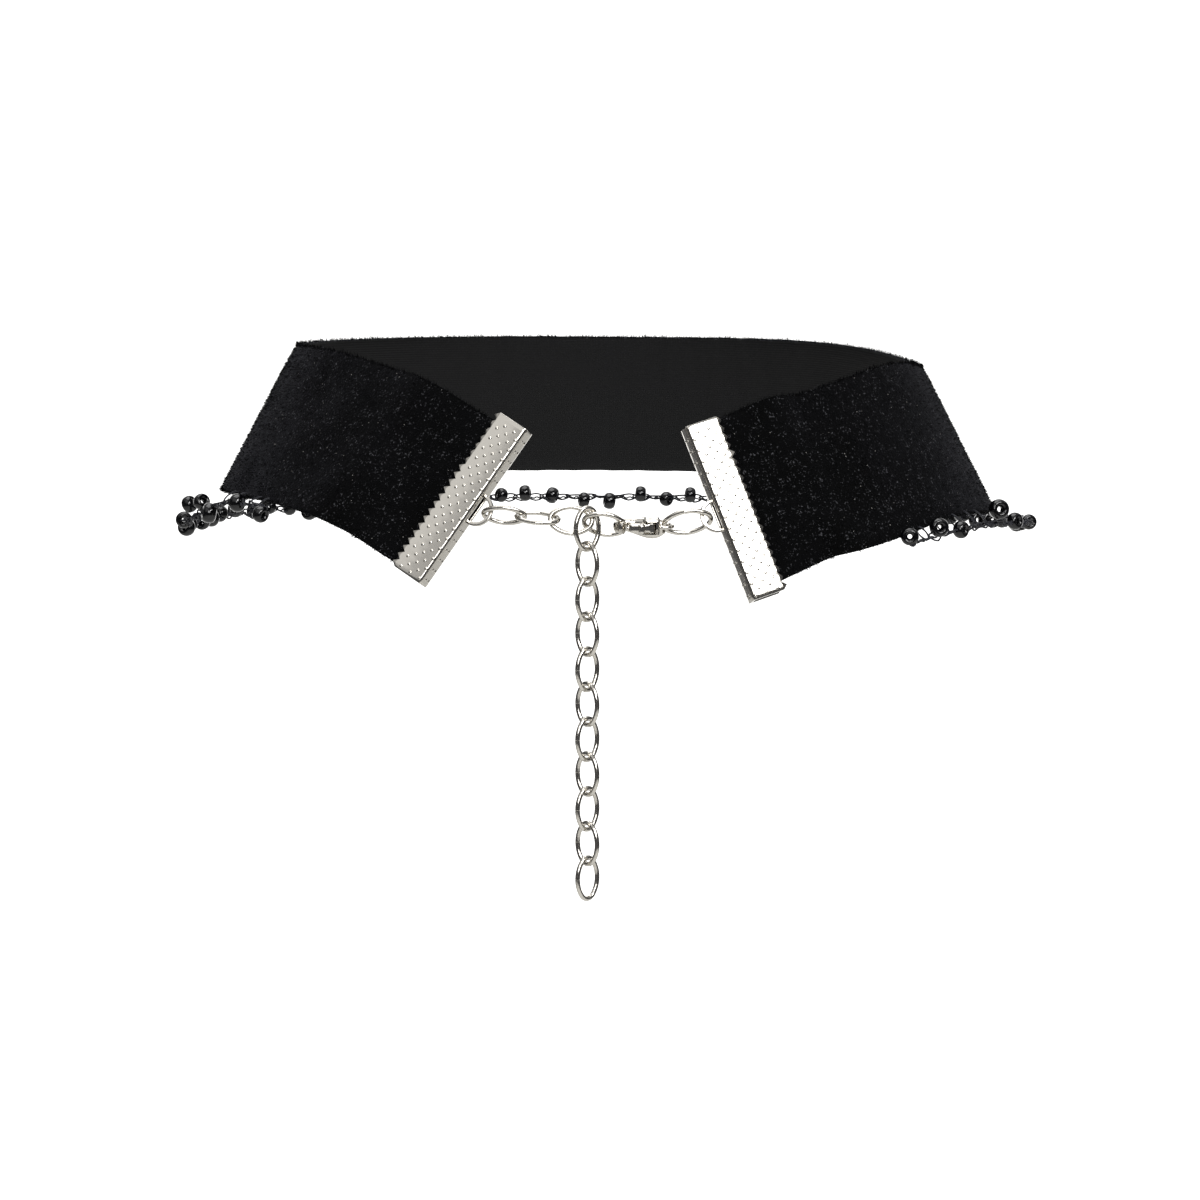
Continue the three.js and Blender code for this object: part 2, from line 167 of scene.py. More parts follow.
# The lit paper's glow stands for all its light, so no other light bounces off it
backdrop, _ = new_material(
    "backlit_white_paper",
    Base_Color=linear("#000000"),
    Roughness=1.0,
    Specular_IOR_Level=0.0,
    Emission_Color=linear(paper_white),
    Emission_Strength=paper_glow,
)
for material in (paper, room, backdrop):
    floor.data.materials.append(material)
# The floor's one round face keeps the paint; the walls' faces are backlit paper or grey room
for face in floor.data.polygons:
    if len(face.vertices) == 4:
        behind = -face.center.y > backdrop_sector * math.hypot(face.center.x, face.center.y)
        face.material_index = 2 if behind else 1

# Light: a soft key high on the photo's right and a weak wide fill high on its left. One more
# is overhead, one is above the camera, and a small one gives the metal its glints. The pale
# room adds a little light from everywhere.
room_light = 0.45
world = bpy.data.worlds.new("pale_room")
world.use_nodes = True
world.node_tree.nodes["Background"].inputs["Color"].default_value = linear("#ffffff")
world.node_tree.nodes["Background"].inputs["Strength"].default_value = room_light
bpy.context.scene.world = world
soft_lights = [
    # name, place, size in metres, power in watts
    ("key_light", (-0.5, 0.75, 0.6), 0.42, 4.8),
    ("fill_light", (0.66, 0.76, 0.72), 0.9, 1.3),
    ("overhead_light", (0.1, -0.1, 0.9), 0.8, 6.0),
    ("front_light", (0, 0.85, 0.3), 0.35, 2.6),
    ("small_light", (-0.25, 0.7, 0.5), 0.14, 1.5),
]
for name, location, size, power in soft_lights:
    bpy.ops.object.light_add(type="AREA", location=location)
    light = bpy.context.object
    light.name = name
    light.rotation_euler = (Vector() - Vector(location)).to_track_quat("-Z", "Y").to_euler()
    light.data.size = size
    light.data.energy = power
bpy.context.scene.view_settings.view_transform = "Standard"


# Velvet ribbon: one straight strip of black velvet ribbon that wraps the neck. It is a firm
# woven backing with a cut pile on its outer face, and its ends are held in the clamps.
loop_radius = 49.8
ribbon_width = 23.2
backing_half = 0.6
pressed_share = 0.72
press_lead = 0.5
press_run = 0.35
pile_round = 1.6
edge_rounding = 0.45
sheet_step = 0.5
clamp_depth = 5.3
flat_lead = 1
end_gap = 0.9
left_tilt = math.radians(4)
right_tilt = math.radians(-6)
velvet_black = "#030303"
velvet_brushed = "#070708"
velvet_fibre = "#5a5a5e"
velvet_lint = "#8d8a86"
nap_grain = 0.28
nap_mottle = 1.2
mottle_share = 0.35
nap_streak = 9
lint_cell = 1.3

# turn in degrees from the back of the neck, height as a share of the width, lean in degrees
band_rows = [
    (20, -0.29, 22),
    (28, -0.155, 22),
    (36, -0.013, 23),
    (45, 0.072, 33),
    (60, 0.128, 29),
    (90, 0.092, 28),
    (135, 0.03, 24),
    (180, 0, 24),
    (225, 0, 24),
    (270, -0.05, 27),
    (300, 0.037, 28),
    (324, -0.094, 28),
    (330, -0.122, 22),
    (344, -0.319, 20),
]
# turn, place over the width, depth and reach as shares of the width
dent_rows = [
    (57, 0.24, 0.03, 0.2),
    (49, -0.2, 0.035, 0.25),
    (68, -0.42, 0.03, 0.15),
]
# worn stretches of the cloth: turn, reach in degrees, strength
worn_rows = [(60, 16, 1), (300, 20, 0.5)]
# its ripples: radians for a degree of turn and for the whole width, strength
ripple_rows = [(0.9, 3, 1), (2.1, -5, 0.5)]
ripple_everywhere = 0.05
ripple_worn = 0.3
ripple_low = 1.4
first_turn = band_rows[0][0]
last_turn = band_rows[-1][0]


def smooth_value(rows, turn, column):
    """The column's value at a turn, on a smooth line through the rows."""
    i = next((k for k, row in enumerate(rows) if row[0] >= turn), len(rows) - 1)
    i = max(i, 1)

    def slope(k):
        a, b = rows[max(k - 1, 0)], rows[min(k + 1, len(rows) - 1)]
        return (b[column] - a[column]) / (b[0] - a[0])

    a, b = rows[i - 1], rows[i]
    span = b[0] - a[0]
    s = (turn - a[0]) / span
    return (
        a[column] * (2 * s**3 - 3 * s**2 + 1)
        + b[column] * (3 * s**2 - 2 * s**3)
        + slope(i - 1) * span * (s**3 - 2 * s**2 + s)
        + slope(i) * span * (s**3 - s**2)
    )


def radial_at(turn):
    return Vector((math.sin(math.radians(turn)), math.cos(math.radians(turn)), 0))


def middle_at(turn):
    point = loop_radius * radial_at(turn)
    point.z = ribbon_width * smooth_value(band_rows, turn, 1)
    return point


def band_at(turn):
    """Middle of the band at a turn, and its run, its upward and its outward direction."""
    flat_turn = math.degrees((clamp_depth + flat_lead) / loop_radius)
    bent = min(max(turn, first_turn + flat_turn), last_turn - flat_turn)
    along = (middle_at(bent + 0.5) - middle_at(bent - 0.5)).normalized()
    middle = middle_at(bent) + along * math.radians(turn - bent) * loop_radius
    upright = along.cross(radial_at(bent)).normalized()
    level = upright.cross(along)
    lean = math.radians(smooth_value(band_rows, bent, 2))
    across = upright * math.cos(lean) - level * math.sin(lean)
    out = level * math.cos(lean) + upright * math.sin(lean)
    return middle, along, across, out


def clamp_place(turn, side, tilt):
    """A clamp's place: X to the chain, Y through the sheet, Z along the clamp."""
    middle, along, across, _ = band_at(turn)
    forward = along * side
    through = across.cross(forward)
    turned = Matrix((forward, through, across)).transposed().to_4x4()
    return Matrix.Translation(middle) @ turned @ Matrix.Rotation(tilt, 4, "Y")


left_place = clamp_place(first_turn, -1, left_tilt)
right_place = clamp_place(last_turn, 1, right_tilt)


def dent_at(turn, share):
    depth = 0
    for dent_turn, across, dent_depth, reach in dent_rows:
        along_share = math.radians(turn - dent_turn) * loop_radius / ribbon_width
        distance = math.hypot(along_share, share - across) / reach
        depth += dent_depth * ribbon_width * math.exp(-(distance**2))
    return depth


def softness_at(turn, share):
    """Slight unevenness of the worn cloth, strongest low down and near the closure."""
    low = max(0, -share) * ripple_low
    near = sum(part * math.exp(-(((turn - at) / reach) ** 2)) for at, reach, part in worn_rows)
    ripple = sum(part * math.sin(turn * a + share * b) for a, b, part in ripple_rows)
    return ripple * (ripple_everywhere + ripple_worn * low * near)


def into_clamp(place, point):
    """How far a point lies past the clamp's teeth towards the spine, in millimetres."""
    return (place.inverted() @ point).x + clamp_depth


def ribbon_point(turn, share, side):
    """A point of the ribbon's face: side 1 is the pile and -1 the back."""
    middle, _, across, out = band_at(turn)
    point = middle + across * share * ribbon_width
    free = 1
    for place in (left_place, right_place):
        depth = into_clamp(place, point)
        free = min(free, 1 / (1 + math.exp((depth + press_lead) / press_run)))
    edge = (0.5 - abs(share)) * ribbon_width
    rounding = 1 - edge_rounding * math.exp(-edge / pile_round * 2)
    half = backing_half * rounding * (pressed_share + (1 - pressed_share) * free)
    lift = half * side - dent_at(turn, share) + softness_at(turn, share) * free
    return point + out * lift


def end_inset(tilt):
    """Degrees by which the cloth stops short of the line that a tilted clamp starts on."""
    skew = (ribbon_width / 2) * math.tan(abs(tilt))
    return math.degrees((end_gap + skew) / loop_radius)


def new_piece(name, points, faces):
    mesh = bpy.data.meshes.new(name)
    mesh.from_pydata(points, [], faces)
    piece = bpy.data.objects.new(name, mesh)
    bpy.context.collection.objects.link(piece)
    return piece


def open_edit():
    """Edit mode for the active piece, with all of it selected."""
    bpy.ops.object.mode_set(mode="EDIT")
    bpy.ops.mesh.select_all(action="SELECT")


def close_edit():
    bpy.ops.object.mode_set(mode="OBJECT")


def deselect():
    bpy.ops.object.select_all(action="DESELECT")


# The sheet is a closed grid: each row of points goes over the pile and back along the weave
start_turn = first_turn + end_inset(left_tilt)
end_turn = last_turn - end_inset(right_tilt)
around = round(math.radians(end_turn - start_turn) * loop_radius / sheet_step)
over = round(ribbon_width / sheet_step)
cuts = 2 * (over + 1)
points = []
for i in range(around + 1):
    turn = start_turn + (end_turn - start_turn) * i / around
    for k in range(cuts):
        outer = k <= over
        share = (k if outer else cuts - 1 - k) / over - 0.5
        points.append(ribbon_point(turn, share, 1 if outer else -1) * mm)
faces = []
for i in range(around):
    for k in range(cuts):
        a, b = i * cuts + k, i * cuts + (k + 1) % cuts
        faces.append((a, a + cuts, b + cuts, b))
faces.append(tuple(range(cuts)))
faces.append(tuple(around * cuts + k for k in reversed(range(cuts))))
sheet = new_piece("velvet_sheet", points, faces)
bpy.context.view_layer.objects.active = sheet
sheet.select_set(True)
open_edit()
bpy.ops.mesh.normals_make_consistent(inside=False)
close_edit()
bpy.ops.object.shade_smooth_by_angle(angle=math.radians(60))
sheet.select_set(False)


def ramp(material, source, *stops):
    """A colour ramp over a value, with the positions and colours of its two stops."""
    made = node(material, "ValToRGB", {"Fac": source})
    for i, (position, colour) in enumerate(stops):
        made.color_ramp.elements[i].position = position
        made.color_ramp.elements[i].color = colour
    return made.outputs["Color"]


def blended(material, share, base, colour):
    """The base colour, with another one where the share is high."""
    links = {"Factor_Float": share, "A_Color": base}
    made = node(material, "Mix", links, data_type="RGBA", B_Color=linear(colour))
    return made.outputs[2]

# Silk and rayon velvet: a dull, very dark pile that lightens at grazing angles, with a
# brushed nap, and a few pale lint fibres caught in it.
velvet, shader = new_material(
    "black_velvet_pile", Roughness=0.95, Sheen_Weight=0.15, Sheen_Roughness=0.4
)
shader.inputs["Specular IOR Level"].default_value = 0.04
shader.inputs["Sheen Tint"].default_value = linear("#7d7e88")
place = node(velvet, "TexCoord").outputs["Object"]
fibres = noise(velvet, place, nap_grain * mm, 4.0)
mottle = noise(velvet, place, nap_mottle * mm, 2.0)
streaks = noise(velvet, place, nap_streak * mm, 3.0)
lint = node(
    velvet, "TexVoronoi", {"Vector": place}, Scale=1 / (lint_cell * mm), Randomness=1.0
)
speck = ramp(velvet, lint.outputs["Distance"], (0.035, (1, 1, 1, 1)), (0.06, (0, 0, 0, 1)))
tone = ramp(velvet, streaks, (0.35, linear(velvet_black)), (0.75, linear(velvet_brushed)))
caught = node(velvet, "Math", {0: mottle, 2: fibres}, operation="MULTIPLY_ADD")
caught.inputs[1].default_value = mottle_share
grain = node(velvet, "MapRange", {"Value": caught.outputs["Value"]}, From_Min=0.79, From_Max=1.02)
grained = blended(velvet, grain.outputs["Result"], tone, velvet_fibre)
feed(velvet, shader.inputs["Base Color"], blended(velvet, speck, grained, velvet_lint))
emboss(velvet, shader, fibres, 0.8, 0.25 * mm)
sheet.data.materials.append(velvet)

# The back is the bare ground weave, a plain close satin with a dull shine, so it is a
# little lighter than the pile.
weave, shader = new_material("black_satin_backing", Roughness=0.6)
shader.inputs["Specular IOR Level"].default_value = 0.2
place = node(weave, "TexCoord").outputs["UV"]
threads = node(weave, "TexWave", {"Vector": place}, Scale=1 / 0.9, bands_direction="X")
picks = node(weave, "TexWave", {"Vector": place}, Scale=1 / 1.2, bands_direction="Y")
woven = node(
    weave, "Math", {0: threads.outputs["Fac"], 1: picks.outputs["Fac"]}, operation="MULTIPLY"
)
shade = ramp(weave, woven.outputs["Value"], (0, linear("#060607")), (1, linear("#0f0f11")))
feed(weave, shader.inputs["Base Color"], shade)
emboss(weave, shader, woven.outputs["Value"], 0.5, 0.1 * mm)
sheet.data.materials.append(weave)
spots = sheet.data.uv_layers.new(name="weave")
for face in sheet.data.polygons:
    is_back = len(face.vertices) == 4 and all(v % cuts > over for v in face.vertices)
    face.material_index = 1 if is_back else 0
    for corner, vertex in zip(face.loop_indices, face.vertices):
        row, column = divmod(vertex, cuts)
        spots.data[corner].uv = (row * sheet_step, column * sheet_step)
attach(sheet, "necklace")
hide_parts("velvet_ribbon")


# Pile: the cut fibres of the velvet, as fine tapered tufts that stand off the outer face
# and show along its edges. They lean slightly down, the way the cloth was stroked.
pile_length = 0.55
edge_pile_length = 0.75
pile_clear = 0.3
pile_root = 0.06
edge_tufts_per_mm = 14
face_tufts_per_mm2 = 4.4
draw = random.Random(11)


def tuft(points, faces, root, lean, length):
    """Adds one three-sided fibre that stands on a point of the cloth."""
    tip_way = lean.normalized()
    side = tip_way.orthogonal().normalized()
    base = len(points)
    for corner in range(3):
        angle = 2 * math.pi * corner / 3
        offset = Matrix.Rotation(angle, 3, tip_way) @ side
        points.append((root + offset * pile_root - tip_way * 0.1) * mm)
    points.append((root + tip_way * length) * mm)
    for corner in range(3):
        faces.append((base + corner, base + (corner + 1) % 3, base + 3))
    faces.append((base + 2, base + 1, base))


points = []
faces = []
run_length = math.radians(end_turn - start_turn) * loop_radius
pile_start = first_turn + math.degrees((clamp_depth + pile_clear) / loop_radius)
pile_end = last_turn - math.degrees((clamp_depth + pile_clear) / loop_radius)
for edge in (-0.5, 0.5):
    for _ in range(round(run_length * edge_tufts_per_mm)):
        turn = draw.uniform(pile_start, pile_end)
        share = edge * draw.uniform(0.97, 1.0)
        _, along, across, out = band_at(turn)
        root = ribbon_point(turn, share, draw.uniform(0.2, 1))
        lean = across * edge * draw.uniform(0.6, 2.2) + out * draw.uniform(0.2, 1)
        lean += along * draw.uniform(-0.5, 0.5)
        tuft(points, faces, root, lean, edge_pile_length * draw.uniform(0.4, 1.05))
for _ in range(round(run_length * ribbon_width * face_tufts_per_mm2)):
    turn = draw.uniform(pile_start, pile_end)
    share = draw.uniform(-0.49, 0.49)
    _, along, across, out = band_at(turn)
    root = ribbon_point(turn, share, 1)
    lean = out - across * draw.uniform(0.1, 0.9) + along * draw.uniform(-0.4, 0.4)
    tuft(points, faces, root, lean, pile_length * draw.uniform(0.35, 0.75))
pile = new_piece("velvet_pile", points, faces)
pile.data.materials.append(velvet)
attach(pile, "necklace")


# Ribbon clamps: nickel-plated sheet steel, folded over each ribbon end and pressed shut.
# Their jaws end in small teeth that bite the velvet, and their faces are embossed with
# dots. The spine has an eye, a strip that is slit free and bulged out.
clamp_length = 25
clamp_sheet = 0.5
jaw_half_gap = 0.9
tooth_count = 21
tooth_height = 0.75
tooth_bite = 0.45
loose_bite = 0.1
fold_radius = 0.35
fold_steps = 4
sheet_bevel = 0.07
slot_width = 0.9
slot_cells = 3
spine_depth = 0.4
eye_length = 4.6
eye_reach = 2.3
eye_strip_width = 0.6
eye_steps = 14
eye_bevel = 0.08
dot_pitch = 1.6
dot_rows = 6
dots_along = 15
dot_margin = 0.55
dot_radius = 0.25
dot_rise = 0.12
spine_dot_radius = 0.24
spine_dot_y = 0.47
spine_dot_margin = 0.9
spine_dots_clear = 0.6
left_loose_to = 4.5
right_loose_at = 7.6
right_loose_reach = 0.6
nickel_colour = "#cbc7bf"
near = 0.01


def pick(test, kind="verts"):
    """Selects, in edit mode, what passes the test of its place, and says how much."""
    bpy.ops.mesh.select_all(action="DESELECT")
    shape = bmesh.from_edit_mesh(bpy.context.edit_object.data)
    found = 0
    for item in getattr(shape, kind):
        spot = item.co if kind == "verts" else item.calc_center_median()
        if test(spot):
            item.select_set(True)
            found += 1
    shape.select_flush_mode()
    bmesh.update_edit_mesh(bpy.context.edit_object.data)
    return found


def move(x=0, y=0, z=0):
    bpy.ops.transform.translate(value=(x, y, z))


def extrude(x=0, y=0, z=0):
    bpy.ops.mesh.extrude_region_move(TRANSFORM_OT_translate={"value": (x, y, z)})


def start_line(start, end, cells):
    """A new piece that is only a straight line of vertices, in edit mode, selected."""
    deselect()
    bpy.ops.mesh.primitive_plane_add(size=1)
    open_edit()
    pick(lambda p: p.y > 0)
    bpy.ops.mesh.delete(type="VERT")
    shape = bmesh.from_edit_mesh(bpy.context.edit_object.data)
    shape.verts.ensure_lookup_table()
    shape.verts[0].co = start
    shape.verts[1].co = end
    bmesh.update_edit_mesh(bpy.context.edit_object.data)
    bpy.ops.mesh.select_all(action="SELECT")
    if cells > 1:
        bpy.ops.mesh.subdivide(number_cuts=cells - 1)
    return bpy.context.edit_object


def add_modifier(piece, kind, **settings):
    """Adds a modifier with its settings and applies it."""
    modifier = piece.modifiers.new(kind.lower(), kind)
    for name, value in settings.items():
        setattr(modifier, name, value)
    bpy.context.view_layer.objects.active = piece
    bpy.ops.object.modifier_apply(modifier=modifier.name)


def close_shell(piece):
    """Merges doubled vertices and turns the faces outwards."""
    bpy.context.view_layer.objects.active = piece
    open_edit()
    bpy.ops.mesh.remove_doubles(threshold=0.002)
    bpy.ops.mesh.normals_make_consistent(inside=False)
    close_edit()


def join(name, *parts):
    deselect()
    for part in parts:
        part.select_set(True)
    bpy.context.view_layer.objects.active = parts[0]
    if len(parts) > 1:
        bpy.ops.object.join()
    parts[0].name = name
    parts[0].data.name = name
    return parts[0]


def set_in_place(piece, place):
    """Turns a piece made in millimetres to metres in its place on the necklace."""
    piece.data.transform(Matrix.Scale(mm, 4) @ place)
    piece.data.update()


def copy_of(piece, name):
    """A copy with its own mesh."""
    copy = piece.copy()
    copy.data = piece.data.copy()
    copy.name = name
    copy.data.name = name
    bpy.context.collection.objects.link(copy)
    return copy


def dress(piece, body, material, smooth_angle=40):
    """Gives a piece its smoothing, its finish and the body that it moves with."""
    deselect()
    piece.select_set(True)
    bpy.context.view_layer.objects.active = piece
    bpy.ops.object.shade_smooth_by_angle(angle=math.radians(smooth_angle))
    piece.data.materials.clear()
    piece.data.materials.append(material)
    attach(piece, body)


# Nickel plate, tumbled bright: a faintly warm silver with a clear reflection, dulled a
# little by handling and crossed by hairline scratches.
nickel, shader = new_material(
    "bright_nickel_plate", Base_Color=linear(nickel_colour), Metallic=1.0, Roughness=0.14
)
place = node(nickel, "TexCoord").outputs["Object"]
handled = noise(nickel, place, 1.3 * mm, 5.0)
dulled = node(nickel, "MapRange", {"Value": handled})
dulled.inputs["To Min"].default_value = 0.06
dulled.inputs["To Max"].default_value = 0.2
feed(nickel, shader.inputs["Roughness"], dulled.outputs["Result"])
emboss(nickel, shader, noise(nickel, place, 0.5 * mm, 3.0), 0.07, 0.04 * mm)

half_clamp = clamp_length / 2
sheet_middle = jaw_half_gap + clamp_sheet / 2
spine_x = -clamp_sheet / 2
root_x = -(clamp_depth - tooth_height)
cells = 2 * tooth_count
cell = clamp_length / cells


def extrude_arc(start, turn, steps, x_radius, y_radius=0, z_radius=0):
    """Extrudes what is selected along an arc, clockwise from a start angle."""
    for step in range(steps):
        a0, a1 = start - step * turn / steps, start - (step + 1) * turn / steps
        rise = math.sin(a1) - math.sin(a0)
        extrude(x_radius * (math.cos(a1) - math.cos(a0)), y_radius * rise, z_radius * rise)


def folded_sheet(is_loose):
    """The folded sheet. Where is_loose says yes to a tooth's z, the tooth bites less deep."""
    tip = -clamp_depth
    piece = start_line((tip, sheet_middle, -half_clamp), (tip, sheet_middle, half_clamp), cells)
    extrude(x=tooth_height)
    extrude(x=spine_x - fold_radius - root_x)
    extrude_arc(math.pi / 2, math.pi / 2, fold_steps, fold_radius, fold_radius)
    extrude(y=slot_width / 2 - (sheet_middle - fold_radius))
    extrude(y=-slot_width)
    extrude(y=slot_width / 2 - (sheet_middle - fold_radius))
    extrude_arc(0, math.pi / 2, fold_steps, fold_radius, fold_radius)
    extrude(x=-(spine_x - fold_radius - root_x))
    extrude(x=-tooth_height)

    def in_slot(p):
        return abs(p.y) < slot_width / 2 and abs(p.z) < slot_cells * cell + near

    def at_tip(p):
        return abs(p.x + clamp_depth) < near

    pick(lambda p: in_slot(p) and p.x > -spine_depth, "faces")
    bpy.ops.mesh.delete(type="FACE")
    pick(lambda p: at_tip(p) and round((p.z + half_clamp) / cell) % 2 == 0)
    move(x=tooth_height)
    for side in (-1, 1):
        for loose, bite in ((False, tooth_bite), (True, loose_bite)):
            pick(
                lambda p: at_tip(p)
                and p.y * side > 0
                and is_loose(p.z) == loose
                and abs(abs(p.y) - sheet_middle) < near
            )
            move(y=-side * bite)
    close_edit()
    close_shell(piece)
    add_modifier(piece, "SOLIDIFY", thickness=clamp_sheet, offset=0)
    add_modifier(piece, "BEVEL", width=sheet_bevel, segments=2, limit_method="ANGLE")
    return piece


# The eye's strip: out from the spine, round in a bow, and back into the spine
strip_radius = (eye_length - clamp_sheet) / 2
half_strip = eye_strip_width / 2
eye = start_line((spine_x, -half_strip, strip_radius), (spine_x, half_strip, strip_radius), 1)
extrude(x=-spine_x)
eye_bow = eye_reach - clamp_sheet / 2
extrude_arc(math.pi / 2, math.pi, eye_steps, eye_bow, z_radius=strip_radius)
extrude(x=spine_x)
close_edit()
close_shell(eye)
add_modifier(eye, "SOLIDIFY", thickness=clamp_sheet, offset=0)
add_modifier(eye, "BEVEL", width=eye_bevel, segments=2, limit_method="ANGLE")


def repeat(piece, count, x=0, z=0):
    add_modifier(
        piece,
        "ARRAY",
        count=count,
        use_relative_offset=False,
        use_constant_offset=True,
        constant_offset_displace=(x, 0, z),
    )


def delete_dots(test):
    """Deletes the active piece's dots with a point that passes."""
    open_edit()
    pick(test)
    bpy.ops.mesh.select_linked()
    bpy.ops.mesh.delete(type="VERT")
    close_edit()


def mirrored(piece, name):
    copy = copy_of(piece, name)
    copy.data.transform(Matrix.Scale(-1, 4, (0, 1, 0)))
    copy.data.flip_normals()
    return copy


# The embossed dots: one dome, staggered, and repeated over the jaw and along the clamp
deselect()
bpy.ops.mesh.primitive_uv_sphere_add(segments=10, ring_count=6, radius=dot_radius)
dots = bpy.context.object
open_edit()
bpy.ops.transform.rotate(value=math.pi / 2, orient_axis="X", center_override=(0, 0, 0))
bpy.ops.transform.resize(value=(1, dot_rise / dot_radius, 1))
move(x=-dot_margin, y=jaw_half_gap + clamp_sheet, z=-half_clamp + dot_margin)
close_edit()
repeat(dots, 2, x=-dot_pitch / 2, z=dot_pitch / 2)
repeat(dots, dot_rows // 2, x=-dot_pitch)
repeat(dots, dots_along, z=dot_pitch)
delete_dots(lambda p: p.x < root_x + dot_radius)
other_dots = mirrored(dots, "other_dots")

# A row of small raised dots on each side of the spine, above and below the eye
deselect()
bpy.ops.mesh.primitive_uv_sphere_add(segments=10, ring_count=6, radius=spine_dot_radius)
spine_dots = bpy.context.object
open_edit()
bpy.ops.transform.resize(value=(dot_rise / spine_dot_radius, 1, 1))
move(y=spine_dot_y, z=-half_clamp + spine_dot_margin)
close_edit()
repeat(spine_dots, dots_along, z=dot_pitch)
delete_dots(lambda p: abs(p.z) < eye_length / 2 + spine_dots_clear)
other_spine_dots = mirrored(spine_dots, "other_spine_dots")

# The left clamp's lower teeth stand off the velvet, and one of the right clamp's does
fittings = join("fittings", eye, dots, other_dots, spine_dots, other_spine_dots)
for name, place, is_loose in (
    ("left", left_place, lambda z: z < left_loose_to),
    ("right", right_place, lambda z: abs(z - right_loose_at) < right_loose_reach),
):
    fitted = copy_of(fittings, "fitted")
    clamp = join(f"ribbon_clamp_{name}_sheet", folded_sheet(is_loose), fitted)
    set_in_place(clamp, place)
    dress(clamp, "necklace", nickel)
    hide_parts(f"ribbon_clamp_{name}")
bpy.data.objects.remove(fittings)


# Chain links: nickel-plated steel wire, cut and bent into ovals whose ends butt together at
# the middle of one side. Four run across to the clasp, and eleven hang down.
link_length = 6.26
link_width = 4.26
link_wire = 0.68
end_link_width = 4.76
end_link_roll = 40
wire_sides = 14
butt_gap = 0.03
drop_count = 11
first_drop_turn = 32
drop_turn = 43
first_drop_offset = (2.3, 0.95, -0.5)
# how loosely one wire sits in the next piece: between links, in the eyes, in the hook
left_eye_play = 0.27
across_play = 0.39
drop_play = 0.18
hook_play = 0.32
right_eye_play = 0.57


def section_sweep(legs, sides, wire, start, steps_per_turn=44):
    """A round wire from a start point, bent clockwise by each leg's angle round its centre."""
    deselect()
    bpy.ops.mesh.primitive_circle_add(
        vertices=sides,
        radius=wire / 2,
        fill_type="NGON",
        location=start,
        rotation=(0, math.pi / 2, 0),
    )
    piece = bpy.context.object
    bpy.ops.object.transform_apply()
    open_edit()
    for centre, angle in legs:
        steps = max(3, round(steps_per_turn * angle / (2 * math.pi)))
        bpy.ops.mesh.spin(steps=steps, angle=angle, center=centre, axis=(0, 0, 1))
    close_edit()
    close_shell(piece)
    return piece


def oval_link(length, width, wire):
    """One link at the origin, along X, with its opening facing Z."""
    half_length = (length - wire) / 2
    half_width = (width - wire) / 2
    end_radius = 0.7 * half_width
    side_radius = ((half_length - end_radius) ** 2 + half_width**2 - end_radius**2) / (
        2 * (half_width - end_radius)
    )
    lean = math.atan2(half_length - end_radius, side_radius - half_width)
    top = (0, half_width - side_radius, 0)
    bottom = (0, side_radius - half_width, 0)
    right = (half_length - end_radius, 0, 0)
    left = (end_radius - half_length, 0, 0)
    round_end = math.pi - 2 * lean
    legs = [
        (top, lean),
        (right, round_end),
        (bottom, 2 * lean),
        (left, round_end),
        (top, lean - butt_gap / side_radius),
    ]
    return section_sweep(legs, wire_sides, wire, (0, half_width, 0))


def link_place(centre, along, side):
    normal = along.cross(side).normalized()
    turned = Matrix((along, normal.cross(along), normal)).transposed().to_4x4()
    return Matrix.Translation(centre) @ turned


def run_of(swing, dip):
    swing, dip = math.radians(swing), math.radians(dip)
    level = math.cos(dip)
    return Vector((-level * math.cos(swing), level * math.sin(swing), -math.sin(dip)))


def side_of(along, roll):
    outwards = (Vector((0, 1, 0)) - along * along.y).normalized()
    upwards = outwards.cross(along).normalized()
    return upwards * math.cos(math.radians(roll)) + outwards * math.sin(math.radians(roll))


def wire_in_eye(place, wire, play):
    return place @ Vector((eye_reach - clamp_sheet - wire / 2 - play, 0, 0))


link_model = oval_link(link_length, link_width, link_wire)


def hang_link(name, centre, along, side):
    link = copy_of(link_model, f"{name}_wire")
    set_in_place(link, link_place(centre, along, side))
    dress(link, "necklace", nickel)
    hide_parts(name)


link_half = (link_length - link_wire) / 2
across_pitch = link_length - 2 * link_wire - across_play
# swing outwards, dip and roll in degrees
across_rows = [(10, 2, 50), (5, 5, 106), (-2, 3, 163), (-8, 12, 215)]
run = run_of(*across_rows[0][:2])
centre = wire_in_eye(left_place, link_wire, left_eye_play) + run * link_half
for i, (swing, dip, roll) in enumerate(across_rows):
    if i > 0:
        centre = centre + run * (across_pitch / 2)
        run = run_of(swing, dip)
        centre = centre + run * (across_pitch / 2)
    hang_link(f"chain_link_{i + 1}", centre, run, side_of(run, roll))
held_centre = centre
held_end = centre + run * link_half

# The extender hangs from the held link. Its links turn by turns to one side and the other.
drop_pitch = link_length - 2 * link_wire - drop_play
down = Vector((0, 0, -1))
centre = held_centre + Vector(first_drop_offset)
for i in range(drop_count):
    turn = math.radians(first_drop_turn if i == 0 else drop_turn * (-1) ** i)
    side = Vector((math.cos(turn), math.sin(turn), 0))
    hang_link(f"drop_link_{i + 1}", centre, down, side)
    centre = centre + down * drop_pitch

bpy.data.objects.remove(link_model)

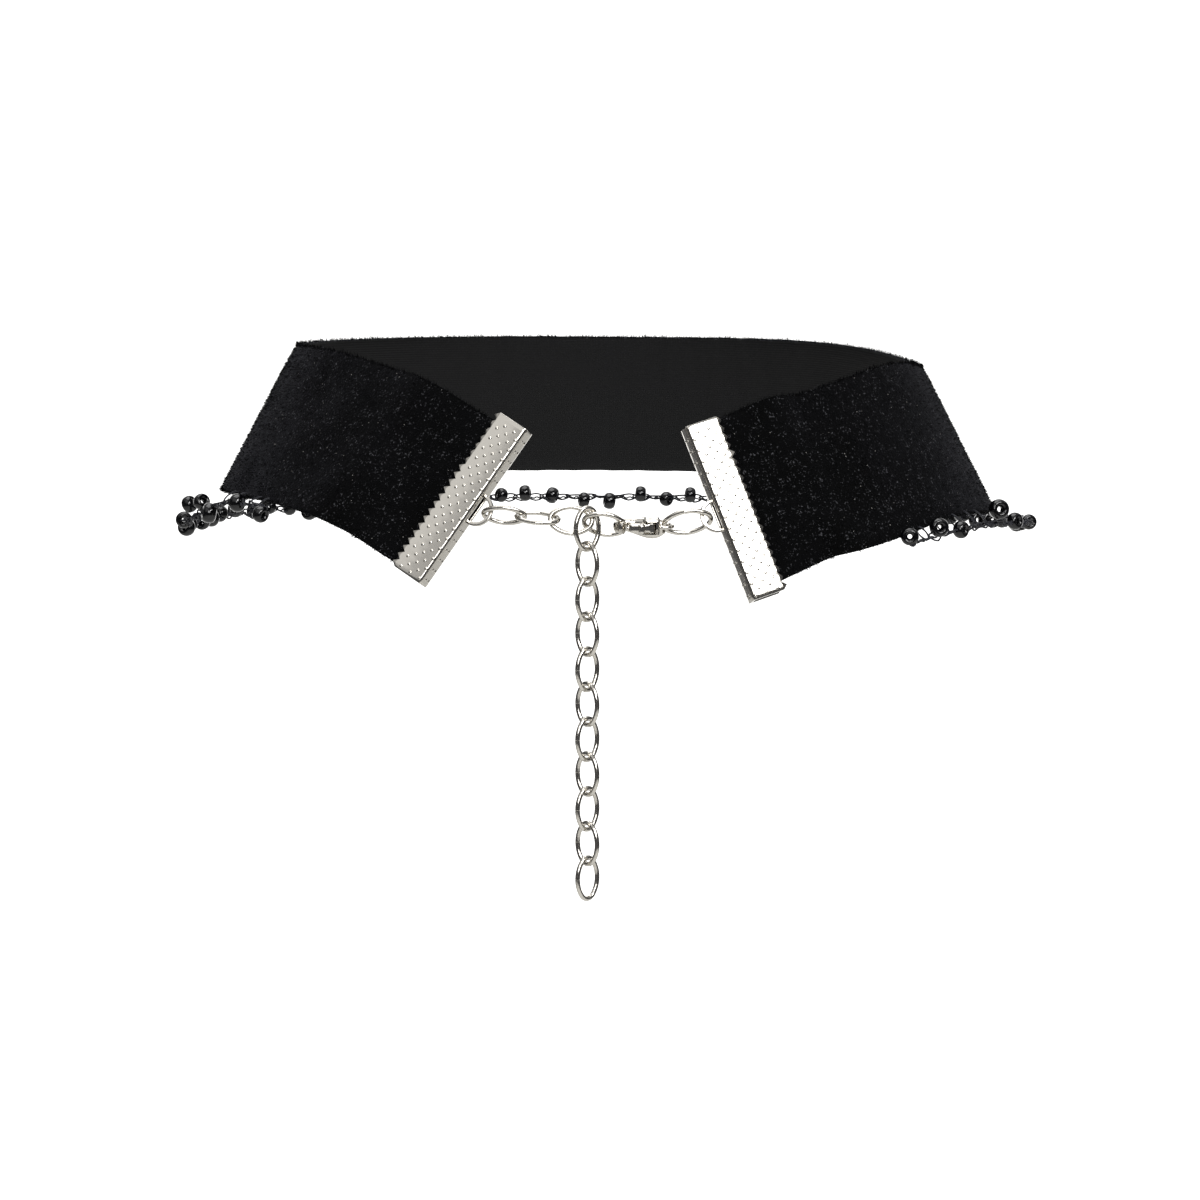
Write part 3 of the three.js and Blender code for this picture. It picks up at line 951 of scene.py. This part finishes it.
# Lobster clasp: a small nickel-plated casting, tumbled smooth. Its hook closes on a sprung
# lever that turns on a pin between two cheeks, and its eye holds the end link.
clasp_length = 8.3
hook_wire = 1
hook_depth = 1.55
hook_seat = hook_wire / 2 + link_wire / 2 + hook_play
hook_front = clasp_length / 2 - hook_wire / 2
ring_radius = 1.12
ring_half_wire = 0.28
ring_reach = 1.4
eye_x = -(clasp_length / 2 - ring_reach)
pivot_offset = 0.95
knuckle_radius = 0.75
lever_thickness = 1.3
lever_clearance = 0.2
lever_rise = 0.15
pin_radius = 0.25
pin_reach = 1.22
pin_clearance = 0.1
casting_voxel = 0.07
clasp_roll = math.radians(-5)
clasp_shift = (hook_seat - hook_front, 0.1, 0.3)

clasp_place = Matrix.Translation(held_end + Vector(clasp_shift))
clasp_place = clasp_place @ Matrix.Rotation(clasp_roll, 4, "X")


def block(corner, other, bevel):
    """A box between two corners, with rounded edges."""
    size = [b - a for a, b in zip(corner, other)]
    middle = [(a + b) / 2 for a, b in zip(corner, other)]
    deselect()
    bpy.ops.mesh.primitive_cube_add(size=1, location=middle)
    piece = bpy.context.object
    bpy.ops.object.transform_apply()
    open_edit()
    bpy.ops.transform.resize(value=size, center_override=middle)
    if bevel:
        bpy.ops.mesh.bevel(offset=bevel, segments=4)
    close_edit()
    return piece


def rod(start, end, radius, sides=24):
    """A round rod between two points."""
    run = Vector(end) - Vector(start)
    deselect()
    bpy.ops.mesh.primitive_cylinder_add(
        vertices=sides,
        radius=radius,
        depth=run.length,
        location=(Vector(start) + Vector(end)) / 2,
        rotation=run.to_track_quat("Z", "Y").to_euler(),
    )
    bpy.ops.object.transform_apply()
    return bpy.context.object


def tapered_wire(rows):
    """A round bar through the rows' points x, y, z, with each row's radius."""
    deselect()
    bpy.ops.curve.primitive_nurbs_path_add()
    bar = bpy.context.object
    bpy.ops.object.mode_set(mode="EDIT")
    bpy.ops.curve.select_all(action="SELECT")
    bpy.ops.curve.subdivide(number_cuts=(len(rows) - 2) // 4 + 1)
    close_edit()
    while len(bar.data.splines[0].points) > len(rows):
        bpy.ops.object.mode_set(mode="EDIT")
        bpy.ops.curve.select_all(action="DESELECT")
        bar.data.splines[0].points[-1].select = True
        bpy.ops.curve.delete(type="VERT")
        close_edit()
    spline = bar.data.splines[0]
    for point, (x, y, z, radius) in zip(spline.points, rows):
        point.co = (x, y, z, 1)
        point.radius = radius
    spline.order_u = 3
    spline.use_endpoint_u = True
    spline.resolution_u = 8
    bar.data.dimensions = "3D"
    bar.data.bevel_depth = 1
    bar.data.bevel_resolution = 6
    bar.data.use_fill_caps = True
    bpy.ops.object.convert(target="MESH")
    return bpy.context.object


def cut(piece, tool):
    """Cuts the tool's shape out of the piece."""
    add_modifier(piece, "BOOLEAN", operation="DIFFERENCE", object=tool)
    bpy.data.objects.remove(tool)


def cast(name, *parts):
    """Runs the parts together into one rounded casting."""
    piece = join(name, *parts)
    add_modifier(piece, "REMESH", mode="VOXEL", voxel_size=casting_voxel)
    add_modifier(piece, "SMOOTH", factor=0.5, iterations=5)
    return piece


hook = tapered_wire(
    [
        (-2.6, 0.0, 0, 0.5),
        (-1.8, -0.2, 0, 0.7),
        (-0.9, -0.85, 0, 0.72),
        (0.2, -1.4, 0, 0.62),
        (1.3, -1.55, 0, 0.55),
        (2.4, -1.4, 0, 0.5),
        (3.35, -0.75, 0, 0.48),
        (3.68, 0.05, 0, 0.48),
        (3.4, 0.95, 0, 0.5),
        (2.6, 1.42, 0, 0.55),
    ]
)
open_edit()
bpy.ops.transform.resize(value=(1, 1, hook_depth), center_override=(0, 0, 0))
close_edit()
rim = tapered_wire(
    [
        (-2.6, -0.2, -0.6, 0.5),
        (-1.9, -0.5, -1.25, 0.55),
        (-0.6, -0.75, -1.35, 0.5),
        (0.8, -1.05, -0.95, 0.45),
        (2.2, -1.2, -0.5, 0.42),
        (3.3, -0.7, -0.2, 0.4),
    ]
)
cheeks = block((-2.15, -1.0, -1.2), (-0.1, 1.75, 1.2), 0.4)
deselect()
bpy.ops.mesh.primitive_torus_add(
    major_segments=40,
    minor_segments=16,
    major_radius=ring_radius,
    minor_radius=ring_half_wire,
    location=(eye_x, 0, 0),
)
ring = bpy.context.object
bpy.ops.object.transform_apply()
clasp = cast("clasp_casting", hook, rim, cheeks, ring)


def pivot_at(z):
    return (-pivot_offset, pivot_offset, z)


# The slot between the cheeks is cut out, and the pin goes through both
slot_height = lever_thickness + 2 * lever_clearance
slot_back = -pivot_offset - knuckle_radius - lever_clearance
slot_floor = pivot_offset - knuckle_radius - lever_clearance
cut(clasp, block((slot_back, slot_floor, -slot_height / 2), (2, 3, slot_height / 2), 0))
pin = rod(pivot_at(-pin_reach), pivot_at(pin_reach), pin_radius)
clasp = join("clasp_casting", clasp, pin)
set_in_place(clasp, clasp_place)
dress(clasp, "necklace", nickel, 35)
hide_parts("clasp_body")

lever_top = pivot_offset + knuckle_radius + lever_rise
half_lever = lever_thickness / 2
knuckle = rod(pivot_at(-half_lever), pivot_at(half_lever), knuckle_radius, 32)
arm = block((-0.9, lever_top - 0.85, -half_lever), (1.95, lever_top, half_lever), 0.36)
knob = block((-0.15, lever_top - 0.3, -half_lever), (0.65, lever_top + 0.72, half_lever), 0.34)
lever = cast("clasp_lever_casting", knuckle, arm, knob)
cut(lever, rod(pivot_at(-1), pivot_at(1), pin_radius + pin_clearance))
set_in_place(lever, clasp_place)
dress(lever, "lever", nickel, 35)
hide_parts("clasp_lever")

# The larger oval link between the clasp's eye and the right clamp's eye
clasp_eye_wire = clasp_place @ Vector((eye_x, 0, 0))
right_eye_wire = wire_in_eye(right_place, link_wire, right_eye_play)
run = (right_eye_wire - clasp_eye_wire).normalized()
end_length = (right_eye_wire - clasp_eye_wire).length + link_wire
end_link = oval_link(end_length, end_link_width, link_wire)
end_link.name = "end_link_wire"
centre = (right_eye_wire + clasp_eye_wire) / 2
set_in_place(end_link, link_place(centre, run, side_of(run, end_link_roll)))
dress(end_link, "necklace", nickel)
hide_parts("end_link")


# Bead trim: a crocheted chain of thin blue-black two-ply thread, worked with black glass
# beads threaded on it. It is sewn on near each clamp and hangs free round the front.
stitch_length = 2.1
thread_radius = 0.13
thread_sides = 6
bead_spacing = 4.3
bead_size = 2.6
bead_thickness = 1.7
bead_hole = 0.6
thread_colour = "#15161f"
ply_pitch = 0.35
# turn in degrees, out and down from the ribbon's edge as shares of the loop's radius
trim_rows = [
    (55, 0.035, 0.011),
    (70, 0.034, 0.02),
    (80, 0.057, 0.055),
    (92, 0.123, 0.11),
    (110, 0.118, 0.109),
    (140, 0.104, 0.099),
    (180, 0.095, 0.095),
    (220, 0.096, 0.095),
    (255, 0.105, 0.056),
    (270, 0.108, 0.03),
    (285, 0.047, 0.027),
    (300, 0.03, 0.034),
    (316, 0.034, 0.017),
]
# Beads near the ends: turn, out and up from the thread in millimetres, size, and degrees
# by which the hole is turned from the thread to the front
end_beads = [
    (54.5, 0.2, -0.9, 2.4, 20),
    (64, 0.3, 0.1, 2.6, 40),
    (76.5, 0.5, -0.8, 2.9, 80),
    (80.5, 0.3, 1.4, 2.4, 10),
    (86, 0.2, 2.2, 2.5, 40),
    (268, 0.2, -0.2, 2.3, 15),
    (280.5, 0.2, 0.3, 2.5, 70),
    (288, 0.4, 2.0, 2.9, 40),
    (303, 0.3, 0.1, 2.5, 85),
    (310, 0.3, 1.2, 2.7, 50),
    (316, -0.4, 0.9, 2.5, 40),
]
free_from = 86
free_to = 268
# Beads of the free stretch: the limits of the same four values
free_bead_limits = [(-0.3, 0.6), (-0.9, 0.7), (2.3, 2.7), (-35, 35)]
route_steps = 520
core_step = 0.3
core_sway = 0.2
core_rise = 0.12
core_drop = 0.1
sewn_turns = [56, 59.5, 66, 70.5, 293, 297.5, 302, 307, 312.5]
sewing_radius = 0.11
sewing_sides = 18
sewing_slack = 1.1
sewing_bow = 0.62
sewing_slant = 0.35
sewing_spread = 0.12
stitch_bite = 0.4
knot_turns = [55, 84, 281, 316]
knot_size = 0.42
knot_loops = 4
knot_sides = 12


def trim_point(turn):
    middle, _, across, _ = band_at(turn)
    point = middle - across * ribbon_width / 2
    point += radial_at(turn) * loop_radius * smooth_value(trim_rows, turn, 1)
    point.z -= loop_radius * smooth_value(trim_rows, turn, 2)
    return point


class Route:
    """The trim's line by its own length, with its run and two directions across it."""

    def __init__(self):
        first, last = trim_rows[0][0], trim_rows[-1][0]
        self.turns = [first + (last - first) * i / route_steps for i in range(route_steps + 1)]
        self.points = [trim_point(turn) for turn in self.turns]
        self.lengths = [0]
        for a, b in zip(self.points, self.points[1:]):
            self.lengths.append(self.lengths[-1] + (b - a).length)
        self.length = self.lengths[-1]

    def at(self, length):
        length = min(max(length, 0), self.length)
        i = next(k for k, value in enumerate(self.lengths) if value >= length)
        i = max(i, 1)
        share = (length - self.lengths[i - 1]) / (self.lengths[i] - self.lengths[i - 1])
        point = self.points[i - 1].lerp(self.points[i], share)
        run = (self.points[i] - self.points[i - 1]).normalized()
        outwards = Vector((point.x, point.y, 0)).normalized()
        upwards = run.cross(outwards).normalized()
        return point, run, upwards.cross(run), upwards

    def length_at(self, turn):
        i = min(range(len(self.turns)), key=lambda k: abs(self.turns[k] - turn))
        return self.lengths[i]


route = Route()


def add_tube(points, faces, centres, radius, sides, closed):
    """Adds a thread of round section through the centres to the lists."""
    count = len(centres)
    base = len(points)
    normal = None
    for i, centre in enumerate(centres):
        ahead = centres[(i + 1) % count] if closed else centres[min(i + 1, count - 1)]
        behind = centres[i - 1] if closed or i else centres[0]
        run = (ahead - behind).normalized()
        normal = run.orthogonal() if normal is None else normal - run * normal.dot(run)
        normal.normalize()
        other = run.cross(normal)
        for k in range(sides):
            angle = 2 * math.pi * k / sides
            offset = normal * math.cos(angle) + other * math.sin(angle)
            points.append((centre + offset * radius) * mm)
    rings = count if closed else count - 1
    for i in range(rings):
        for k in range(sides):
            a, b = i * sides + k, i * sides + (k + 1) % sides
            c, d = ((i + 1) % count) * sides + (k + 1) % sides, ((i + 1) % count) * sides + k
            faces.append((base + a, base + b, base + c, base + d))
    if not closed:
        faces.append(tuple(base + k for k in reversed(range(sides))))
        faces.append(tuple(base + (count - 1) * sides + k for k in range(sides)))


# One stitch: a slack teardrop of thread, which the next stitch is pulled through
stitch_rows = [
    (-0.3, 0.0, 0.14),
    (0.25, 0.36, 0.04),
    (1.15, 0.64, -0.06),
    (2.0, 0.42, 0.04),
    (2.45, 0.0, 0.14),
    (2.0, -0.42, 0.04),
    (1.15, -0.64, -0.06),
    (0.25, -0.36, 0.04),
]
draw = random.Random(5)
points = []
faces = []
stitches = round(route.length / stitch_length)
rows = len(stitch_rows)
for i in range(stitches):
    start = i * route.length / stitches
    roll = 0.9 * math.sin(i * 1.7) + draw.uniform(-0.5, 0.5)
    swell = draw.uniform(0.85, 1.2)
    centres = []
    for k in range(2 * rows):
        a, b = stitch_rows[k // 2], stitch_rows[(k // 2 + 1) % rows]
        s, u, v = a
        if k % 2 == 1:
            # a smooth point halfway, from the two rows on each side
            before, after = stitch_rows[k // 2 - 1], stitch_rows[(k // 2 + 2) % rows]
            near_rows = zip(before, a, b, after)
            s, u, v = (9 / 16 * (p + q) - 1 / 16 * (o + r) for o, p, q, r in near_rows)
        point, run, outwards, upwards = route.at(start + s)
        turned = math.atan2(v, u) + roll
        reach = math.hypot(u, v) * swell
        out, up = reach * math.cos(turned), reach * math.sin(turned)
        centres.append(point + outwards * out + upwards * up)
    add_tube(points, faces, centres, thread_radius, thread_sides, True)

# The core thread that runs through all stitches, swaying from one to the next
steps = round(route.length / core_step)
centres = []
for i in range(steps + 1):
    point, run, outwards, upwards = route.at(i * route.length / steps)
    phase = 2 * math.pi * i * route.length / steps / stitch_length
    up = core_rise * math.sin(2 * phase) - core_drop
    centres.append(point + outwards * core_sway * math.cos(phase) + upwards * up)
add_tube(points, faces, centres, thread_radius, thread_sides, False)

# Sewing: small loops that hold the ends of the trim to the ribbon's edge, and its knots
for turn in sewn_turns:
    middle, along, across, out = band_at(turn)
    top = middle - across * (ribbon_width / 2 - stitch_bite)
    low = trim_point(turn)
    half = (top - low) / 2 * sewing_slack
    slant = along * draw.uniform(-sewing_slant, sewing_slant)
    for way in (-1, 1):
        lean = slant + along * sewing_spread * way
        centres = []
        for k in range(sewing_sides):
            angle = 2 * math.pi * k / sewing_sides
            bow = out * sewing_bow * math.sin(angle)
            centre = (top + low) / 2 + half * math.cos(angle) + bow
            centres.append(centre + lean * math.cos(angle))
        add_tube(points, faces, centres, sewing_radius, thread_sides, True)
for turn in knot_turns:
    knot_centre = trim_point(turn)
    for _ in range(knot_loops):
        axis = Vector([draw.uniform(-1, 1) for _ in range(3)]).normalized()
        side = axis.orthogonal().normalized()
        centres = [
            knot_centre + Matrix.Rotation(2 * math.pi * k / knot_sides, 3, axis) @ side * knot_size
            for k in range(knot_sides)
        ]
        add_tube(points, faces, centres, thread_radius, thread_sides, True)
trim_thread = new_piece("trim_thread", points, faces)

# Mercerised thread: smooth and slightly lustrous, with its two plies twisted
thread, shader = new_material("blue_black_thread", Base_Color=linear(thread_colour), Roughness=0.5)
place = node(thread, "TexCoord").outputs["Object"]
twist = node(
    thread, "TexWave", {"Vector": place}, Scale=1 / (ply_pitch * mm), Distortion=3.0, Detail=2.0
)
emboss(thread, shader, twist.outputs["Fac"], 0.7, 0.1 * mm)
dress(trim_thread, "necklace", thread, 60)
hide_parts("bead_trim")

# The beads: pressed rocailles, like thick rounded rings, of opaque black glass
deselect()
bead_middle = (bead_size + bead_hole) / 4
bead_wall = (bead_size - bead_hole) / 4
bpy.ops.mesh.primitive_torus_add(
    major_segments=24, minor_segments=12, major_radius=bead_middle, minor_radius=bead_wall
)
bead_model = bpy.context.object
open_edit()
bpy.ops.transform.resize(value=(1, 1, bead_thickness / 2 / bead_wall))
close_edit()

glass, shader = new_material("black_glass", Base_Color=linear("#040406"), Roughness=0.04)
place = node(glass, "TexCoord").outputs["Object"]
emboss(glass, shader, noise(glass, place, 0.9 * mm, 2.0), 0.15, 0.1 * mm)

bead_rows = [(route.length_at(turn), *row) for turn, *row in end_beads]
free_start = route.length_at(free_from) + bead_spacing
free_end = route.length_at(free_to) - bead_spacing
free_beads = round((free_end - free_start) / bead_spacing)
for i in range(free_beads + 1):
    length = free_start + (free_end - free_start) * i / free_beads + draw.uniform(-0.6, 0.6)
    bead_rows.append((length, *(draw.uniform(*limits) for limits in free_bead_limits)))
beads = []
for i, (length, out, up, size, faced) in enumerate(bead_rows):
    point, run, outwards, upwards = route.at(length)
    faced = math.radians(faced)
    axis = run * math.cos(faced) + outwards * math.sin(faced) + upwards * draw.uniform(-0.3, 0.3)
    centre = point + outwards * out + upwards * up
    turned = axis.to_track_quat("Z", "Y").to_matrix().to_4x4()
    bead = copy_of(bead_model, f"bead_{i + 1}")
    set_in_place(bead, Matrix.Translation(centre) @ turned @ Matrix.Scale(size / bead_size, 4))
    beads.append(bead)
bpy.data.objects.remove(bead_model)
trim_beads = join("trim_beads", *beads)
dress(trim_beads, "necklace", glass, 60)
